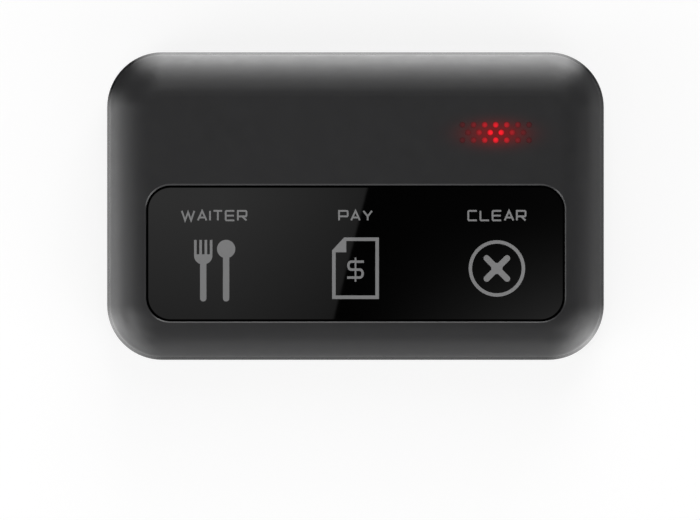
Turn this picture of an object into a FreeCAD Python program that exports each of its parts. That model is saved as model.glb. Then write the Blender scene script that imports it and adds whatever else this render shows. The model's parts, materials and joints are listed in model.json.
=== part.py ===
"""Waiter call button for a restaurant table: a flat pebble-shaped case with three press keys under one
glossy film, and a red indicator that shines through a grid of dots. All sizes are in millimetres.

Frame: +X to the right and +Y away from the person who presses the keys, +Z up. The origin is on the
table, under the middle of the case. Each function below makes one kind of piece, and NODES at the end
names every piece and writes it to parts/NAME.step.
"""

import FreeCAD
import Part
import math
import os

Vector = FreeCAD.Vector
UP = Vector(0, 0, 1)

# ---- Case ----------------------------------------------------------------------------------------
body_width = 88.0  # over the base, along X
body_depth = 54.5  # over the base, along Y
corner_radius = 9.75  # plan corners of the base
parting_height = 6.0  # table to the seam between base and cover
cover_step = 0.55  # ledge of the base that shows round the cover
cover_wall = 1.8
edge_round = 7.4  # round over the cover's upper edge
shadow_chamfer = 0.1  # on the cover's lower edge, so that the seam reads as a fine line
base_wall = 2.2
base_floor = 1.8
base_round = 2.5  # round under the base's lower edge
ledge_bevel = 0.5  # width of the slope on the base's upper edge, nearly the whole ledge
ledge_bevel_height = 1.5

# ---- Heights, from the table up. The case's height is their sum ----------------------------------
foot_projection = 0.5  # rubber feet below the base
door_sink = 0.1  # battery door above the base's underside
door_floor = 1.4
cell_float = 0.1  # cell above the door
cell_thickness = 5.0
contact_gap = 1.1  # cell to circuit board, taken up by the leaf contact
board_thickness = 1.0
switch_height = 4.3  # circuit board to the top of a switch's plunger
stem_length = 0.7  # stem under an actuator's flange
flange_thickness = 0.8
flange_gap = 0.05  # flange to ceiling, with the key up
deck_thickness = 1.1  # floor of the film's recess
adhesive_thickness = 0.1
film_thickness = 0.5
film_recess = 0.25  # film below the cover's top

# ---- Film and keys -------------------------------------------------------------------------------
panel_side_margin = 7.1  # side of the base to the recess
panel_front_margin = 6.83  # front of the base to the recess
panel_depth = 24.0  # recess, along Y
panel_radius = 4.35
rim_bevel = 0.27  # width of the slope round the recess's mouth
rim_bevel_depth = 0.24
film_gap = 0.37  # shadow gap between film and recess
key_count = 3
key_end_margin = 3.0  # end of the recess to the nearest pad
key_front_margin = 4.5  # front and back of the recess to a pad
key_web = 6.9  # between two pads
key_radius = 2.0
key_clearance = 0.15  # pad to its opening in the deck
key_travel = 0.3
flange_overhang = 0.8  # flange past the pad, all round
skirt_clearance = 0.25  # flange to the skirt that guides it
skirt_wall = 0.8
skirt_depth = 2.0
stem_radius = 2.0
rib_width = 1.0
rib_depth = 0.45  # stiffening ribs under the flange
adhesive_margin = 0.3  # edge of the film to its adhesive
adhesive_window = 0.6  # adhesive kept back from each pad

# ---- Indicator -----------------------------------------------------------------------------------
light_side_margin = 19.3  # right side of the base to the middle of the dots
light_back_margin = 14.35  # back of the base to the middle of the dots
dot_columns = (7, 6, 7)  # dots in each row, front to back
dot_pitch_x = 1.96
dot_pitch_y = 1.36
dot_radius = 0.5
dot_skin = 1.0  # cover left above the light guide, with the dots through it
dot_sink = 0.04  # light guide's pins below the cover's top
pin_clearance = 0.04
guide_margin = 1.3  # light guide's plate past the outer dots
guide_clearance = 0.2
shroud_wall = 0.8
shroud_lift = 1.4  # shroud above the circuit board
led_radius = 1.5
led_rim = 0.4  # collar at the lamp's foot
led_rim_height = 0.9
led_standoff = 1.2
led_length = 3.9
led_lead_pitch = 2.54
led_lead = 0.5  # square leads

# ---- Circuit board and its supports --------------------------------------------------------------
board_gap = 1.65  # cover's inner wall to the board's edge
board_radius = 1.0
boss_notch = 0.7  # board kept back from the corner bosses
post_radius = 2.0
side_post_y = -4.0
side_post_inset = 2.4  # board's side edge to the post's axis
back_post_x = 20.0
back_post_inset = 3.75  # board's back edge to the post's axis
support_radius = 1.5  # props under the board, behind the outer keys
board_screw_radius = 0.75
board_screw_length = 4.0  # through the board and into the post
board_head_radius = 1.6
board_head_height = 1.0

# ---- Case screws ---------------------------------------------------------------------------------
screw_inset = 7.4  # side and front of the base to a screw's axis
screw_radius = 1.1
screw_length = 8.0
screw_head_radius = 2.0
screw_head_height = 1.5
screw_head_sink = 0.6  # head above the base's underside
head_clearance = 0.3
hole_clearance = 0.15
thread_clearance = 0.02
cover_boss_radius = 2.6
base_boss_radius = 3.4
boss_rise = 1.0  # base's bosses above the seam
boss_gap = 0.1  # between a base boss and the cover boss above it
head_round = 0.6  # over the heads of all screws
point_chamfer = 0.3
cross_width = 0.5
cross_length = 2.2
cross_depth = 0.7

# ---- Seam ----------------------------------------------------------------------------------------
lip_thickness = 0.9
lip_height = 1.5
lip_clearance = 0.1
lip_root = 1.6  # thicker wall below the lip
gasket_width = 0.9
gasket_depth = 0.8
gasket_inset = 0.95  # side of the base to the gasket's groove

# ---- Battery door --------------------------------------------------------------------------------
cell_radius = 12.25
cell_clearance = 0.4
hub_wall = 1.55
door_clearance = 0.25  # hub to its hole
rim_width = 1.8  # door's rim past the hub
rim_thickness = 1.0
rim_clearance = 0.3
rim_round = 0.3  # round under the rim
seat_gap = 0.1  # rim to the face it closes on, and lug to the ring it locks behind
ring_thickness = 1.5  # ring between rim and lugs
ring_margin = 2.2  # ring past the bay wall's bore
lug_count = 3
lug_reach = 1.5
lug_thickness = 0.8
lug_width_deg = 24.0
entry_margin_deg = 4.0
door_turn_deg = 45.0
bay_clearance = 0.5  # lug to the bay wall
bay_wall = 1.4
seal_radius = 0.5
seal_clearance = 0.02  # seal to its groove's floor, and to the door's hole
slot_length = 16.0
slot_width = 2.2
slot_corner = 1.0
slot_depth = 0.9
mark_radius = 0.55
mark_depth = 0.2
mark_margin = 1.2

# ---- Cell ----------------------------------------------------------------------------------------
can_wall = 0.3
can_lip = 0.75
cap_inset = 1.4  # can's side to the cap's
cap_rise = 0.4  # cap above the can's crimped edge
cell_fit = 0.05
cell_round = 0.5

# ---- Contacts ------------------------------------------------------------------------------------
contact_thickness = 0.25
contact_touch = 0.03
leaf_width = 4.0
leaf_foot = 5.0  # flat on the board
leaf_fall = 4.0  # slope down to the cell
leaf_tip = 1.6  # flat on the cell
leaf_toe = 1.2  # turned up past the tip
leaf_toe_rise = 0.4
clip_width = 5.0
clip_foot = 3.0
clip_overlap = 2.2  # clip down the side of the can

# ---- Rubber feet and label recess ----------------------------------------------------------------
foot_radius = 4.0
foot_inset_x = 17.0
foot_inset_y = 9.25
foot_pocket = 0.5
foot_clearance = 0.1
foot_round = 0.35
label_width = 16.0
label_depth = 22.0
label_corner = 1.0
label_recess = 0.15
label_gap = 2.2  # door's rebate to the label recess

# ---- Tact switch ---------------------------------------------------------------------------------
switch_side = 6.0
switch_corner = 0.4
switch_body_height = 3.1
switch_plate = 0.25
switch_floor = 1.0  # housing's floor, under the dome
well_radius = 2.3
plunger_radius = 1.7
plunger_flange = 0.4
plunger_flange_height = 0.9
plunger_nub_radius = 0.6
plunger_clearance = 0.1
dome_thickness = 0.1
dome_rise = 0.55
leg_width = 1.6  # of the plate's folded legs
terminal_width = 0.7
terminal_thickness = 0.2
terminal_reach = 1.6
terminal_pitch = 4.5

# ---- Parts on the circuit board: their middles, from its left and back edges ---------------------
encoder_place = (31.0, 14.75)
encoder_size = (8.7, 3.9, 1.5)
encoder_pins = 7  # on each side
radio_place = (45.5, 14.75)
radio_size = (4.9, 3.9, 1.4)
radio_pins = 4
pin_pitch = 1.27
pin_width = 0.42
pin_reach = 1.0
pin_thickness = 0.2
pin_one_radius = 0.4  # dimple beside a chip's first pin
pin_one_depth = 0.1
crystal_place = (17.5, 14.75)
crystal_size = (10.6, 4.4, 3.6)
crystal_corner = 2.1
crystal_flange = 0.3  # its width and thickness
crystal_round = 0.4
reservoir_place = (5.5, 13.75)
reservoir_radius = 2.5
reservoir_height = 5.2
reservoir_round = 0.3
reservoir_base = 5.3
reservoir_base_corner = 0.6
reservoir_base_height = 0.8
chip_capacitor_size = (2.0, 1.25, 0.9)
chip_capacitor_places = (
    (23.0, 19.75), (27.0, 19.75), (38.5, 11.75), (38.5, 14.75),
    (38.5, 17.75), (51.0, 12.25), (51.0, 14.75), (51.0, 17.25),
)
chip_resistor_size = (1.6, 0.8, 0.45)
chip_resistor_places = (
    (24.5, 11.75), (24.5, 13.75), (24.5, 15.75), (45.5, 10.25),
    (45.5, 19.25), (31.0, 10.25), (57.5, 17.75), (60.5, 17.75),
)
antenna_place = (39.0, 4.45)
antenna_radius = 2.2  # to the wire's middle
antenna_wire = 0.35  # wire's radius
antenna_pitch = 1.5
antenna_turns = 11

# ---- Levels and places that follow from the sizes above ------------------------------------------
base_bottom = foot_projection
floor_top = base_bottom + base_floor
door_bottom = base_bottom + door_sink
door_inside = door_bottom + door_floor
cell_bottom = door_inside + cell_float
cell_top = cell_bottom + cell_thickness
board_bottom = cell_top + contact_gap
board_top = board_bottom + board_thickness
plunger_top = board_top + switch_height
flange_bottom = plunger_top + stem_length
flange_top = flange_bottom + flange_thickness
ceiling = flange_top + flange_gap
deck_top = ceiling + deck_thickness
film_bottom = deck_top + adhesive_thickness
film_top = film_bottom + film_thickness
body_top = film_top + film_recess

cover_inset = cover_step + cover_wall
cover_round = min(edge_round, corner_radius - cover_step - ledge_bevel)
panel_width = body_width - 2 * panel_side_margin
panel_y = panel_front_margin + panel_depth / 2 - body_depth / 2
film_width = panel_width - 2 * film_gap
film_depth = panel_depth - 2 * film_gap
film_radius = panel_radius - film_gap
key_width = (panel_width - 2 * key_end_margin - (key_count - 1) * key_web) / key_count
key_depth = panel_depth - 2 * key_front_margin
key_pitch = key_width + key_web
KEYS = {"waiter": -key_pitch, "bill": 0.0, "cancel": key_pitch}

light_x = body_width / 2 - light_side_margin
light_y = body_depth / 2 - light_back_margin
guide_width = (max(dot_columns) - 1) * dot_pitch_x + 2 * guide_margin
guide_depth = (len(dot_columns) - 1) * dot_pitch_y + 2 * guide_margin
guide_top = body_top - dot_skin
led_bottom = board_top + led_standoff

board_width = body_width - 2 * (cover_inset + board_gap)
board_depth = body_depth - 2 * (cover_inset + board_gap)
side_post_x = board_width / 2 - side_post_inset
back_post_y = board_depth / 2 - back_post_inset
POSTS = [(sign * side_post_x, side_post_y) for sign in (-1, 1)]
POSTS += [(sign * back_post_x, back_post_y) for sign in (-1, 1)]

screw_x = body_width / 2 - screw_inset
screw_y = body_depth / 2 - screw_inset
CORNERS = [(sx * screw_x, sy * screw_y) for sx in (-1, 1) for sy in (-1, 1)]
head_top = base_bottom + screw_head_sink + screw_head_height
base_boss_top = parting_height + boss_rise
cover_boss_bottom = base_boss_top + boss_gap
FEET = [
    (sx * (body_width / 2 - foot_inset_x), sy * (body_depth / 2 - foot_inset_y))
    for sx in (-1, 1)
    for sy in (-1, 1)
]

hub_inner = cell_radius + cell_clearance
hub_outer = hub_inner + hub_wall
door_hole = hub_outer + door_clearance
rim_outer = hub_outer + rim_width
rebate_radius = rim_outer + rim_clearance
rim_top = door_bottom + rim_thickness
seat_level = rim_top + seat_gap
ring_top = seat_level + ring_thickness
lug_bottom = ring_top + seat_gap
lug_top = lug_bottom + lug_thickness
lug_outer = hub_outer + lug_reach
bay_inner = lug_outer + bay_clearance
bay_outer = bay_inner + bay_wall
seal_level = seat_level + ring_thickness / 2

switch_top = board_top + switch_body_height + switch_plate
plate_bottom = board_top + switch_body_height
dome_bottom = board_top + switch_floor
dome_top = dome_bottom + dome_rise

OVERSHOOT = 1.0  # how far a cutting tool runs past the face it cuts
TINY = 1e-6


# ---- Basic shapes --------------------------------------------------------------------------------
def rounded_wire(width, depth, radius, z, x=0.0, y=0.0):
    """Rounded rectangle about (x, y) at height z."""
    half_w, half_d = width / 2 - radius, depth / 2 - radius
    centres = ((half_w, half_d), (-half_w, half_d), (-half_w, -half_d), (half_w, -half_d))
    arcs = []
    for quarter, (cx, cy) in enumerate(centres):
        start = 90.0 * quarter
        arcs.append(Part.makeCircle(radius, Vector(x + cx, y + cy, z), UP, start, start + 90.0))
    edges = []
    for arc, following in zip(arcs, arcs[1:] + arcs[:1]):
        edges.append(arc)
        edges.append(Part.makeLine(arc.lastVertex().Point, following.firstVertex().Point))
    return Part.Wire(edges)


def slab(width, depth, radius, bottom, top, x=0.0, y=0.0):
    """Upright block with rounded plan corners."""
    return Part.Face(rounded_wire(width, depth, radius, bottom, x, y)).extrude(UP * (top - bottom))


def flared_slab(width, depth, radius, flare, bottom, top, y=0.0):
    """Block that grows by flare on every side from bottom to top."""
    low = rounded_wire(width, depth, radius, bottom, 0.0, y)
    high = rounded_wire(width + 2 * flare, depth + 2 * flare, radius + flare, top, 0.0, y)
    return Part.makeLoft([low, high], True, True)


def case_slab(inset, bottom, top):
    """Block that follows the case's outline, set in by inset."""
    return slab(body_width - 2 * inset, body_depth - 2 * inset, corner_radius - inset, bottom, top)


def disc(radius, bottom, top, x=0.0, y=0.0):
    return Part.makeCylinder(radius, top - bottom, Vector(x, y, bottom))


def tube(outer, inner, bottom, top, x=0.0, y=0.0):
    return disc(outer, bottom, top, x, y).cut(disc(inner, bottom - OVERSHOOT, top + OVERSHOOT, x, y))


def block(width, depth, bottom, top, x=0.0, y=0.0):
    """Box about (x, y)."""
    return Part.makeBox(width, depth, top - bottom, Vector(x - width / 2, y - depth / 2, bottom))


def sector(radius, bottom, top, middle_deg, width_deg):
    """Wedge of a disc about the origin."""
    wedge = Part.makeCylinder(radius, top - bottom, Vector(0, 0, bottom), UP, width_deg)
    wedge.rotate(Vector(), UP, middle_deg - width_deg / 2)
    return wedge


def edges_at(shape, z):
    """Edges that lie level at height z."""
    return [e for e in shape.Edges if abs(e.BoundBox.ZMin - z) < TINY and abs(e.BoundBox.ZMax - z) < TINY]


def joined(shapes):
    """One solid from pieces that touch or overlap."""
    return shapes[0].fuse(shapes[1:]).removeSplitter()


def group(shapes):
    """Separate solids kept in one node."""
    return Part.makeCompound(shapes)


def cross_recess(x, y, face):
    """Cutter for a cross recess in a screw head that faces down at height face."""
    arms = [block(cross_length, cross_width, face - OVERSHOOT, face + cross_depth, x, y)]
    arms.append(block(cross_width, cross_length, face - OVERSHOOT, face + cross_depth, x, y))
    return arms


def screw(x, y, head_radius, head_bottom, head_height, shank_radius, length):
    """Screw driven upwards, with a pan head, a cross recess and a blunt point."""
    shank_bottom = head_bottom + head_height
    head = disc(head_radius, head_bottom, shank_bottom, x, y)
    head = head.makeFillet(min(head_round, head_height / 2), edges_at(head, head_bottom))
    shank = disc(shank_radius, shank_bottom - TINY, shank_bottom + length, x, y)
    shank = shank.makeChamfer(min(point_chamfer, shank_radius / 2), edges_at(shank, shank_bottom + length))
    return joined([head, shank]).cut(cross_recess(x, y, head_bottom))


# ---- Top cover -----------------------------------------------------------------------------------
def dot_places():
    """Middle of each indicator dot."""
    places = []
    for row, count in enumerate(dot_columns):
        y = light_y + (row - (len(dot_columns) - 1) / 2) * dot_pitch_y
        for column in range(count):
            places.append((light_x + (column - (count - 1) / 2) * dot_pitch_x, y))
    return places


def key_slab(x, margin, bottom, top):
    """Block that follows a pad's outline, larger by margin on every side."""
    return slab(key_width + 2 * margin, key_depth + 2 * margin, key_radius + margin, bottom, top, x, panel_y)


def guide_slab(margin, bottom, top):
    """Block that follows the light guide's outline, larger by margin on every side."""
    radius = guide_margin + margin
    return slab(guide_width + 2 * margin, guide_depth + 2 * margin, radius, bottom, top, light_x, light_y)


def cover_inside_features():
    """Bosses, posts, key skirts and light shroud that hang from the cover's ceiling, not yet bored."""
    features = [disc(cover_boss_radius, cover_boss_bottom, deck_top, x, y) for x, y in CORNERS]
    features += [disc(post_radius, board_top, deck_top, x, y) for x, y in POSTS]
    skirt = flange_overhang + skirt_clearance + skirt_wall
    features += [key_slab(x, skirt, ceiling - skirt_depth, deck_top) for x in KEYS.values()]
    features.append(guide_slab(guide_clearance + shroud_wall, board_top + shroud_lift, guide_top))
    return features


def cover_key_cutters():
    """For each key, the bore of its skirt and its opening in the deck."""
    cutters = [key_slab(x, flange_overhang + skirt_clearance, board_top, ceiling) for x in KEYS.values()]
    cutters += [key_slab(x, key_clearance, ceiling - OVERSHOOT, deck_top + OVERSHOOT) for x in KEYS.values()]
    return cutters


def make_top_cover():
    shell = case_slab(cover_step, parting_height, body_top)
    shell = shell.makeFillet(cover_round, edges_at(shell, body_top))
    shell = shell.makeChamfer(shadow_chamfer, edges_at(shell, parting_height))
    hollow = case_slab(cover_inset, parting_height - OVERSHOOT, ceiling)
    hollow = hollow.makeFillet(cover_round - cover_wall, edges_at(hollow, ceiling))
    features = [feature.common(shell) for feature in cover_inside_features()]
    cover = joined([shell.cut(hollow)] + features)

    cutters = [slab(panel_width, panel_depth, panel_radius, deck_top, body_top + OVERSHOOT, 0, panel_y)]
    cutters.append(
        flared_slab(
            panel_width, panel_depth, panel_radius, 2 * rim_bevel,
            body_top - rim_bevel_depth, body_top + rim_bevel_depth, panel_y,
        )
    )
    cutters += cover_key_cutters()
    cutters.append(guide_slab(guide_clearance, board_top, guide_top))
    cutters += [disc(dot_radius, guide_top - TINY, body_top + OVERSHOOT, x, y) for x, y in dot_places()]
    pilot_top = head_top + screw_length + thread_clearance
    pilot = screw_radius + thread_clearance
    cutters += [disc(pilot, cover_boss_bottom - OVERSHOOT, pilot_top, x, y) for x, y in CORNERS]
    pilot_top = board_bottom + board_screw_length + thread_clearance
    pilot = board_screw_radius + thread_clearance
    cutters += [disc(pilot, board_top - OVERSHOOT, pilot_top, x, y) for x, y in POSTS]
    return cover.cut(cutters)


def make_light_guide():
    """Plate behind the dots, with one pin through each hole."""
    plate = guide_slab(0, ceiling, guide_top)
    pin = dot_radius - pin_clearance
    pins = [disc(pin, guide_top - TINY, body_top - dot_sink, x, y) for x, y in dot_places()]
    return joined([plate] + pins)


# ---- Film and keys -------------------------------------------------------------------------------
def make_film():
    return slab(film_width, film_depth, film_radius, film_bottom, film_top, 0, panel_y)


def make_adhesive():
    """Double-sided sheet under the film, open over the pads."""
    sheet = slab(
        film_width - 2 * adhesive_margin, film_depth - 2 * adhesive_margin, film_radius - adhesive_margin,
        deck_top, film_bottom, 0, panel_y,
    )
    low, high = deck_top - OVERSHOOT, film_bottom + OVERSHOOT
    return sheet.cut([key_slab(x, adhesive_window, low, high) for x in KEYS.values()])


def make_actuator(x):
    """Pad through the deck, flange that keeps it in, ribs, and the stem that works the switch."""
    pad = key_slab(x, 0, flange_top - TINY, deck_top)
    flange = key_slab(x, flange_overhang, flange_bottom, flange_top)
    stem = disc(stem_radius, plunger_top, flange_bottom + TINY, x, panel_y)
    ribs = [block(key_width, rib_width, flange_bottom - rib_depth, flange_bottom + TINY, x, panel_y)]
    ribs.append(block(rib_width, key_depth, flange_bottom - rib_depth, flange_bottom + TINY, x, panel_y))
    return joined([flange, pad, stem] + ribs)


# ---- Tact switch ---------------------------------------------------------------------------------
def make_switch_housing(x):
    body = slab(switch_side, switch_side, switch_corner, board_top, plate_bottom, x, panel_y)
    return body.cut(disc(well_radius, dome_bottom, plate_bottom + OVERSHOOT, x, panel_y))


def make_switch_plate(x):
    """Steel plate over the housing, with a folded leg on two sides."""
    plate = slab(switch_side, switch_side, switch_corner, plate_bottom, switch_top, x, panel_y)
    plate = plate.cut(
        disc(plunger_radius + plunger_clearance, plate_bottom - OVERSHOOT, switch_top + OVERSHOOT, x, panel_y)
    )
    leg_y = (switch_side + switch_plate) / 2
    legs = [
        block(leg_width, switch_plate, dome_bottom, switch_top, x, panel_y + side * leg_y)
        for side in (-1, 1)
    ]
    return joined([plate] + legs)


def make_plunger(x):
    flange_high = plate_bottom - plunger_clearance / 2
    flange_low = flange_high - plunger_flange_height
    stem = disc(plunger_radius, flange_high - TINY, plunger_top, x, panel_y)
    flange = disc(plunger_radius + plunger_flange, flange_low, flange_high, x, panel_y)
    nub = disc(plunger_nub_radius, dome_top, flange_low + TINY, x, panel_y)
    return joined([flange, stem, nub])


def make_dome(x):
    """Snap dome: a shallow shell whose crown meets the plunger's nub."""
    dome_radius = well_radius - plunger_clearance
    sphere_radius = (dome_radius**2 + dome_rise**2) / (2 * dome_rise)
    centre = Vector(x, panel_y, dome_top - sphere_radius)
    shell = Part.makeSphere(sphere_radius, centre)
    shell = shell.cut(Part.makeSphere(sphere_radius - dome_thickness, centre))
    return shell.common(disc(dome_radius, dome_bottom, dome_top + OVERSHOOT, x, panel_y))


def make_terminals():
    """Four flat terminals for each switch."""
    terminals = []
    for x in KEYS.values():
        for side in (-1, 1):
            for end in (-1, 1):
                terminals.append(
                    block(
                        terminal_reach, terminal_width, board_top, board_top + terminal_thickness,
                        x + side * (switch_side + terminal_reach) / 2, panel_y + end * terminal_pitch / 2,
                    )
                )
    return group(terminals)


# ---- Circuit board and what it carries -----------------------------------------------------------
def on_board(place):
    """Point (x, y) that lies this far from the board's left and back edges."""
    from_left, from_back = place
    return from_left - board_width / 2, board_depth / 2 - from_back


def make_board():
    board = slab(board_width, board_depth, board_radius, board_bottom, board_top)
    notch = 2 * (cover_boss_radius + boss_notch)
    cutters = []
    for x, y in CORNERS:
        reach_x, reach_y = math.copysign(notch, x), math.copysign(notch, y)
        cutters.append(block(notch, notch, 0, body_top, x, y))
        cutters.append(block(notch, 2 * notch, 0, body_top, x, y + reach_y))
        cutters.append(block(2 * notch, notch, 0, body_top, x + reach_x, y))
    cutters += [disc(board_screw_radius + hole_clearance, 0, body_top, x, y) for x, y in POSTS]
    for side in (-1, 1):
        hole = led_lead / math.sqrt(2) + hole_clearance
        cutters.append(disc(hole, 0, body_top, light_x + side * led_lead_pitch / 2, light_y))
    return board.cut(cutters)


def make_board_screws():
    head = (board_head_radius, board_bottom - board_head_height, board_head_height)
    return group([screw(x, y, *head, board_screw_radius, board_screw_length) for x, y in POSTS])


def make_led():
    """Lamp with a collar and a round nose."""
    collar = disc(led_radius + led_rim, led_bottom, led_bottom + led_rim_height, light_x, light_y)
    body = disc(led_radius, led_bottom, led_bottom + led_length - led_radius, light_x, light_y)
    nose = Part.makeSphere(led_radius, Vector(light_x, light_y, led_bottom + led_length - led_radius))
    return joined([collar, body, nose])


def make_led_leads():
    leads = []
    for side in (-1, 1):
        x = light_x + side * led_lead_pitch / 2
        leads.append(block(led_lead, led_lead, board_bottom - led_lead, led_bottom, x, light_y))
    return group(leads)


def make_chip(place, size):
    x, y = on_board(place)
    width, depth, height = size
    top = board_top + height
    body = block(width, depth, board_top + pin_thickness / 2, top, x, y)
    inset = 2 * pin_one_radius
    dimple = disc(pin_one_radius, top - pin_one_depth, body_top, x - width / 2 + inset, y - depth / 2 + inset)
    return body.cut(dimple)


def make_chip_pins(place, size, count):
    """Gull-wing pins along the front and back of a chip."""
    x, y = on_board(place)
    depth, middle = size[1], board_top + size[2] / 2
    pins = []
    for side in (-1, 1):
        riser_y = y + side * (depth + pin_thickness) / 2
        foot_y = y + side * (depth + pin_reach) / 2
        for n in range(count):
            px = x + (n - (count - 1) / 2) * pin_pitch
            riser = block(pin_width, pin_thickness, board_top, middle, px, riser_y)
            foot = block(pin_width, pin_reach, board_top, board_top + pin_thickness, px, foot_y)
            pins.append(joined([riser, foot]))
    return group(pins)


def make_crystal():
    x, y = on_board(crystal_place)
    width, depth, height = crystal_size
    can = slab(width, depth, crystal_corner, board_top, board_top + height, x, y)
    can = can.makeFillet(crystal_round, edges_at(can, board_top + height))
    flange = slab(
        width + 2 * crystal_flange, depth + 2 * crystal_flange, crystal_corner + crystal_flange,
        board_top, board_top + crystal_flange, x, y,
    )
    return joined([can, flange])


def make_reservoir():
    """Aluminium can of an electrolytic capacitor."""
    bottom = board_top + reservoir_base_height
    can = disc(reservoir_radius, bottom, board_top + reservoir_height, *on_board(reservoir_place))
    return can.makeFillet(reservoir_round, edges_at(can, board_top + reservoir_height))


def make_reservoir_base():
    top = board_top + reservoir_base_height
    x, y = on_board(reservoir_place)
    return slab(reservoir_base, reservoir_base, reservoir_base_corner, board_top, top, x, y)


def make_chip_parts(places, size):
    width, depth, height = size
    return group([block(width, depth, board_top, board_top + height, *on_board(place)) for place in places])


def make_antenna():
    """Close helix of wire that lies along the back of the board."""
    length = antenna_pitch * antenna_turns
    helix = Part.makeHelix(antenna_pitch, length, antenna_radius)
    profile = Part.Wire(Part.makeCircle(antenna_wire, Vector(antenna_radius, 0, 0), Vector(0, 1, 0)))
    coil = Part.Wire(helix).makePipeShell([profile], True, True)
    coil.rotate(Vector(), Vector(0, 1, 0), 90)
    x, y = on_board(antenna_place)
    coil.translate(Vector(x - length / 2, y, board_top + antenna_radius + antenna_wire))
    return coil


# ---- Cell and contacts ---------------------------------------------------------------------------
can_top = cell_top - cap_rise
cap_radius = cell_radius - cap_inset


def make_cell_can():
    """Steel cup, open side up, with its edge crimped inwards."""
    can = disc(cell_radius, cell_bottom, can_top)
    can = can.makeFillet(cell_round, edges_at(can, cell_bottom) + edges_at(can, can_top))
    hollow = disc(cell_radius - can_wall, cell_bottom + can_wall, can_top - can_wall)
    mouth = disc(cell_radius - can_lip, cell_bottom + OVERSHOOT, can_top + OVERSHOOT)
    return can.cut([hollow, mouth])


def make_cell_seal():
    low, high = cell_bottom + can_wall + cell_fit, can_top
    inside = cap_radius + cell_fit
    wide = tube(cell_radius - can_wall - cell_fit, inside, low, high - can_wall - cell_fit)
    narrow = tube(cell_radius - can_lip - cell_fit, inside, low, high)
    return joined([wide, narrow])


def make_cell_cap():
    cap = disc(cap_radius, cell_bottom + can_wall + cell_fit, cell_top)
    return cap.makeFillet(cap_rise, edges_at(cap, cell_top))


def make_leaf_contact():
    """Spring leaf from the board down to the cell's cap, cut from strip."""
    high = board_bottom
    low = cell_top + contact_touch + contact_thickness
    outline = [(-leaf_fall - leaf_foot, high), (-leaf_fall, high), (0.0, low), (leaf_tip, low)]
    outline.append((leaf_tip + leaf_toe, low + leaf_toe_rise))
    front = -leaf_width / 2
    points = [Vector(x, front, z) for x, z in outline]
    points += [Vector(x, front, z - contact_thickness) for x, z in reversed(outline)]
    return Part.Face(Part.makePolygon(points + points[:1])).extrude(Vector(0, leaf_width, 0))


def make_side_contact():
    """Angle that hangs from the board and touches the side of the can."""
    near = cell_radius + contact_touch
    blade = block(
        contact_thickness, clip_width, can_top - clip_overlap, board_bottom, near + contact_thickness / 2, 0
    )
    foot = block(clip_foot, clip_width, board_bottom - contact_thickness, board_bottom, near + clip_foot / 2)
    return joined([blade, foot])


# ---- Base ----------------------------------------------------------------------------------------
def lug_angles():
    return [90.0 + 360.0 * n / lug_count for n in range(lug_count)]


def make_base():
    outside = case_slab(0, base_bottom, parting_height)
    outside = outside.makeFillet(base_round, edges_at(outside, base_bottom))
    upper_edge = edges_at(outside, parting_height)
    outside = outside.makeChamfer(ledge_bevel_height, ledge_bevel, upper_edge)
    lip_outer = cover_inset + lip_clearance
    lip_inner = lip_outer + lip_thickness
    lip = case_slab(lip_outer, parting_height - TINY, parting_height + lip_height)
    root_bottom = parting_height - lip_root
    hollow = case_slab(base_wall, floor_top, root_bottom)
    upper_hollow = case_slab(lip_inner, floor_top, parting_height + lip_height + OVERSHOOT)
    shell = joined([outside, lip]).cut([hollow, upper_hollow])

    features = [disc(base_boss_radius, floor_top - TINY, base_boss_top, x, y) for x, y in CORNERS]
    features.append(disc(bay_inner + ring_margin, floor_top - TINY, ring_top))
    features.append(tube(bay_outer, bay_inner, ring_top - TINY, board_bottom))
    features += [disc(support_radius, floor_top - TINY, board_bottom, x, panel_y) for x in KEYS.values() if x]
    base = joined([shell] + features)

    cutters = [disc(rebate_radius, base_bottom - OVERSHOOT, seat_level)]
    cutters.append(disc(door_hole, base_bottom - OVERSHOOT, ring_top + OVERSHOOT))
    for angle in lug_angles():
        entry = sector(
            lug_outer + rim_clearance, seat_level - TINY, ring_top + TINY,
            angle - door_turn_deg, lug_width_deg + 2 * entry_margin_deg,
        )
        cutters.append(entry)
    counterbore = screw_head_radius + head_clearance
    for x, y in CORNERS:
        cutters.append(disc(counterbore, base_bottom - OVERSHOOT, head_top, x, y))
        cutters.append(disc(screw_radius + hole_clearance, 0, base_boss_top + OVERSHOOT, x, y))
    cutters += [
        disc(foot_radius + foot_clearance, base_bottom - OVERSHOOT, base_bottom + foot_pocket, x, y)
        for x, y in FEET
    ]
    groove = case_slab(gasket_inset, parting_height - gasket_depth, parting_height + OVERSHOOT)
    inner = case_slab(gasket_inset + gasket_width, 0, body_top)
    cutters.append(groove.cut(inner))
    label_x = -(rebate_radius + label_gap + label_width / 2)
    label_top = base_bottom + label_recess
    cutters.append(slab(label_width, label_depth, label_corner, base_bottom - OVERSHOOT, label_top, label_x))
    mark_reach = rebate_radius + mark_margin + mark_radius
    for turn, hollow_mark in ((0.0, False), (door_turn_deg, True)):
        angle = math.radians(90.0 - turn)
        place = (mark_reach * math.cos(angle), mark_reach * math.sin(angle))
        mark = disc(mark_radius, base_bottom - OVERSHOOT, base_bottom + mark_depth, *place)
        if hollow_mark:
            mark = mark.cut(disc(mark_radius / 2, base_bottom - OVERSHOOT, body_top, *place))
        cutters.append(mark)
    return base.cut(cutters)


def make_gasket():
    """Flat silicone ring that the cover closes on."""
    ring = case_slab(gasket_inset, parting_height - gasket_depth, parting_height)
    return ring.cut(case_slab(gasket_inset + gasket_width, 0, body_top))


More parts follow.
